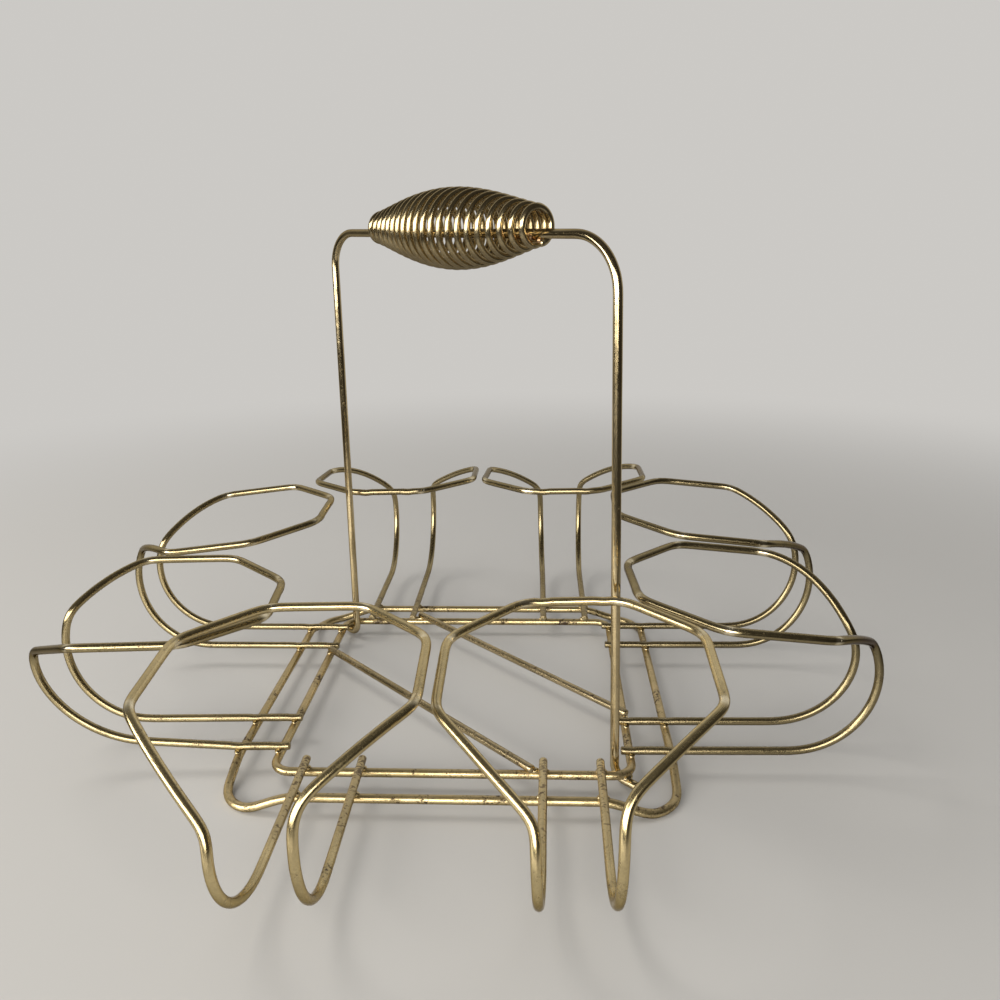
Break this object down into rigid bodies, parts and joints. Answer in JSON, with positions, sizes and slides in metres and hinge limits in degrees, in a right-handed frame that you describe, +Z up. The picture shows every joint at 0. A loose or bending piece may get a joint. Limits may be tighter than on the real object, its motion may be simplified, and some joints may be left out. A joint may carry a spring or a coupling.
{
  "type": "cocktail glass carrier",
  "caption": "Brass wire caddy: tumbler holders stand out round a square wire base, under one bail handle with a coiled grip.",
  "frame": {"origin": "on the table, under the middle of the base", "axes": "+Z up; -Y is the front; the handle stands on the diagonal from back left to front right"},
  "size_m": [0.3031, 0.3058, 0.2062],
  "materials": {
    "frame_brass": "worn satin brass plate, speckled",
    "brace_brass": "dull brass plate",
    "handle_brass": "polished brass plate, lightly worn",
    "grip_brass": "bright polished brass wire",
    "holder_brass": "worn satin brass plate"
  },
  "bodies": {
    "root": {"outer_frame": "frame_brass", "inner_frame": "frame_brass", "brace_front_left": "brace_brass", "brace_back_right": "brace_brass", "handle": "handle_brass", "grip": "grip_brass", "holder_front_left": "holder_brass", "holder_front_right": "holder_brass", "holder_right_front": "holder_brass", "holder_right_back": "holder_brass", "holder_back_right": "holder_brass", "holder_back_left": "holder_brass", "holder_left_back": "holder_brass", "holder_left_front": "holder_brass"}
  },
  "joints": []
}
